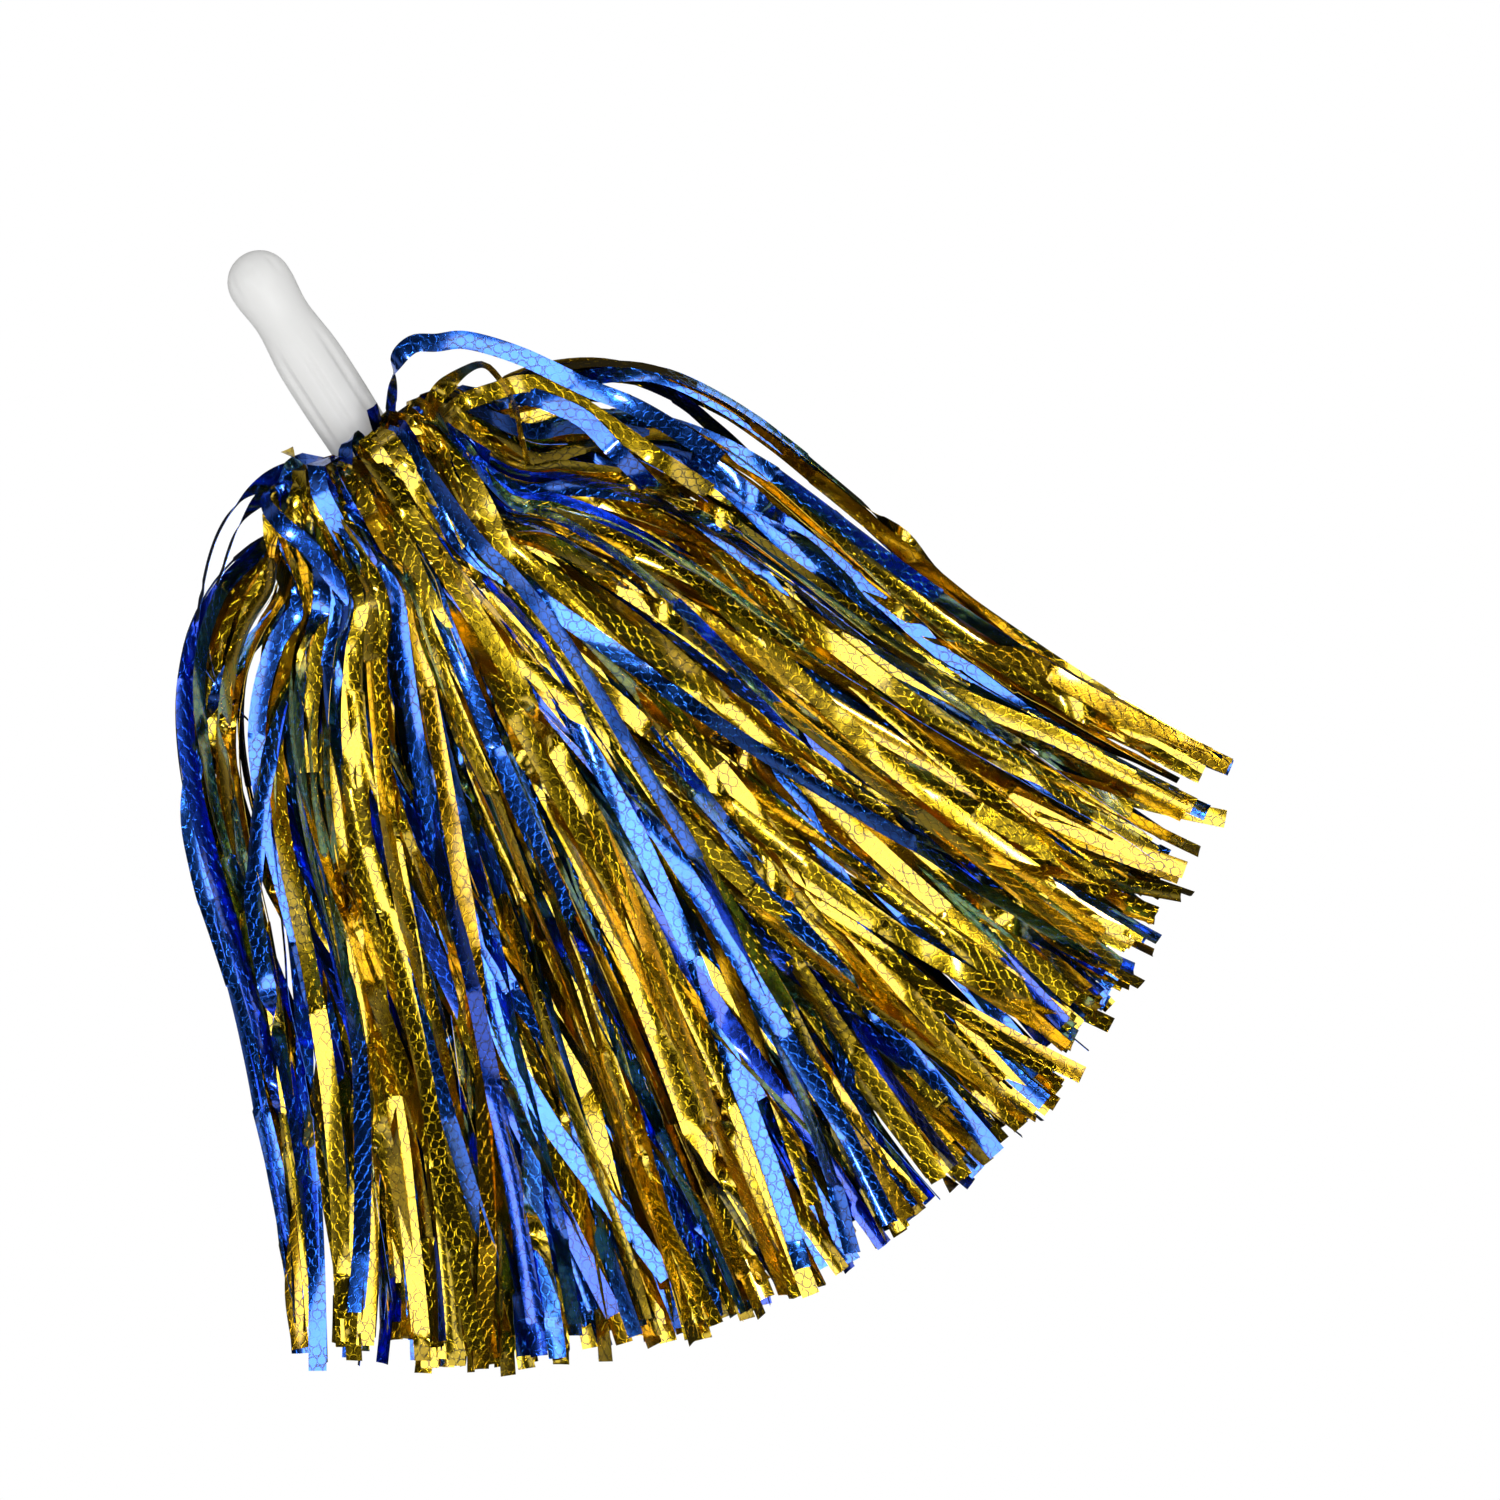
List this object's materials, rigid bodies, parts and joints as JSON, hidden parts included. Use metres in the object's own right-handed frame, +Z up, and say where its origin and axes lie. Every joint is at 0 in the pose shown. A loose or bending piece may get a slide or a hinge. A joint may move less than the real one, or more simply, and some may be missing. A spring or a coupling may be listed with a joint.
{
  "type": "cheer pom pom",
  "caption": "Baton-handle cheer pom pom: hollow white fluted handle with a fan of long slit gold and blue metallic foil ribbons spilling from its mouth, lying flat",
  "frame": {"origin": "centre of the bottom of the bounding box, on the surface that the pom pom lies on", "axes": "+Y along the handle from its mouth to its butt, +X across the fan, +Z up from the surface"},
  "size_m": [0.3742, 0.395, 0.046],
  "materials": {
    "handle_plastic": "satin",
    "gold_foil": "polished",
    "blue_foil": "polished",
    "pin_steel": "satin",
    "wire_steel": "satin"
  },
  "bodies": {
    "handle": {"handle_grip": "handle_plastic", "retaining_pin": "pin_steel", "tie_wire": "wire_steel", "gold_header": "gold_foil", "blue_header": "blue_foil", "gold_crown": "gold_foil", "blue_crown": "blue_foil"},
    "bottom_far_left": {"gold_bottom_far_left": "gold_foil", "blue_bottom_far_left": "blue_foil"},
    "bottom_left": {"gold_bottom_left": "gold_foil", "blue_bottom_left": "blue_foil"},
    "bottom_centre": {"gold_bottom_centre": "gold_foil", "blue_bottom_centre": "blue_foil"},
    "bottom_right": {"gold_bottom_right": "gold_foil", "blue_bottom_right": "blue_foil"},
    "bottom_far_right": {"gold_bottom_far_right": "gold_foil", "blue_bottom_far_right": "blue_foil"},
    "middle_far_left": {"gold_middle_far_left": "gold_foil", "blue_middle_far_left": "blue_foil"},
    "middle_left": {"gold_middle_left": "gold_foil", "blue_middle_left": "blue_foil"},
    "middle_centre": {"gold_middle_centre": "gold_foil", "blue_middle_centre": "blue_foil"},
    "middle_right": {"gold_middle_right": "gold_foil", "blue_middle_right": "blue_foil"},
    "middle_far_right": {"gold_middle_far_right": "gold_foil", "blue_middle_far_right": "blue_foil"},
    "top_far_left": {"gold_top_far_left": "gold_foil", "blue_top_far_left": "blue_foil"},
    "top_left": {"gold_top_left": "gold_foil", "blue_top_left": "blue_foil"},
    "top_centre": {"gold_top_centre": "gold_foil", "blue_top_centre": "blue_foil"},
    "top_right": {"gold_top_right": "gold_foil", "blue_top_right": "blue_foil"},
    "top_far_right": {"gold_top_far_right": "gold_foil", "blue_top_far_right": "blue_foil"}
  },
  "joints": [
    {"name": "bottom_centre_swing", "type": "hinge", "parent": "handle", "child": "bottom_centre", "pos_m": [0, 0.1085, 0.0116], "axis": [0, 0, 1], "range_deg": [-15, 15]},
    {"name": "middle_centre_lift", "type": "hinge", "parent": "bottom_centre", "child": "middle_centre", "pos_m": [0, 0.1085, 0.0116], "axis": [-1, 0, 0], "range_deg": [0, 45]},
    {"name": "top_centre_lift", "type": "hinge", "parent": "middle_centre", "child": "top_centre", "pos_m": [0, 0.1085, 0.0116], "axis": [-1, 0, 0], "range_deg": [0, 45]},
    {"name": "bottom_left_swing", "type": "hinge", "parent": "bottom_centre", "child": "bottom_left", "pos_m": [0, 0.1085, 0.0116], "axis": [0, 0, -1], "range_deg": [0, 18]},
    {"name": "bottom_far_left_swing", "type": "hinge", "parent": "bottom_left", "child": "bottom_far_left", "pos_m": [0, 0.1085, 0.0116], "axis": [0, 0, -1], "range_deg": [0, 18]},
    {"name": "bottom_right_swing", "type": "hinge", "parent": "bottom_centre", "child": "bottom_right", "pos_m": [0, 0.1085, 0.0116], "axis": [0, 0, 1], "range_deg": [0, 18]},
    {"name": "bottom_far_right_swing", "type": "hinge", "parent": "bottom_right", "child": "bottom_far_right", "pos_m": [0, 0.1085, 0.0116], "axis": [0, 0, 1], "range_deg": [0, 18]},
    {"name": "middle_left_swing", "type": "hinge", "parent": "middle_centre", "child": "middle_left", "pos_m": [0, 0.1085, 0.0116], "axis": [0, 0, -1], "range_deg": [0, 10]},
    {"name": "middle_far_left_swing", "type": "hinge", "parent": "middle_left", "child": "middle_far_left", "pos_m": [0, 0.1085, 0.0116], "axis": [0, 0, -1], "range_deg": [0, 10]},
    {"name": "middle_right_swing", "type": "hinge", "parent": "middle_centre", "child": "middle_right", "pos_m": [0, 0.1085, 0.0116], "axis": [0, 0, 1], "range_deg": [0, 10]},
    {"name": "middle_far_right_swing", "type": "hinge", "parent": "middle_right", "child": "middle_far_right", "pos_m": [0, 0.1085, 0.0116], "axis": [0, 0, 1], "range_deg": [0, 10]},
    {"name": "top_left_swing", "type": "hinge", "parent": "top_centre", "child": "top_left", "pos_m": [0, 0.1085, 0.0116], "axis": [0, 0, -1], "range_deg": [0, 12]},
    {"name": "top_far_left_swing", "type": "hinge", "parent": "top_left", "child": "top_far_left", "pos_m": [0, 0.1085, 0.0116], "axis": [0, 0, -1], "range_deg": [0, 12]},
    {"name": "top_right_swing", "type": "hinge", "parent": "top_centre", "child": "top_right", "pos_m": [0, 0.1085, 0.0116], "axis": [0, 0, 1], "range_deg": [0, 12]},
    {"name": "top_far_right_swing", "type": "hinge", "parent": "top_right", "child": "top_far_right", "pos_m": [0, 0.1085, 0.0116], "axis": [0, 0, 1], "range_deg": [0, 12]}
  ]
}
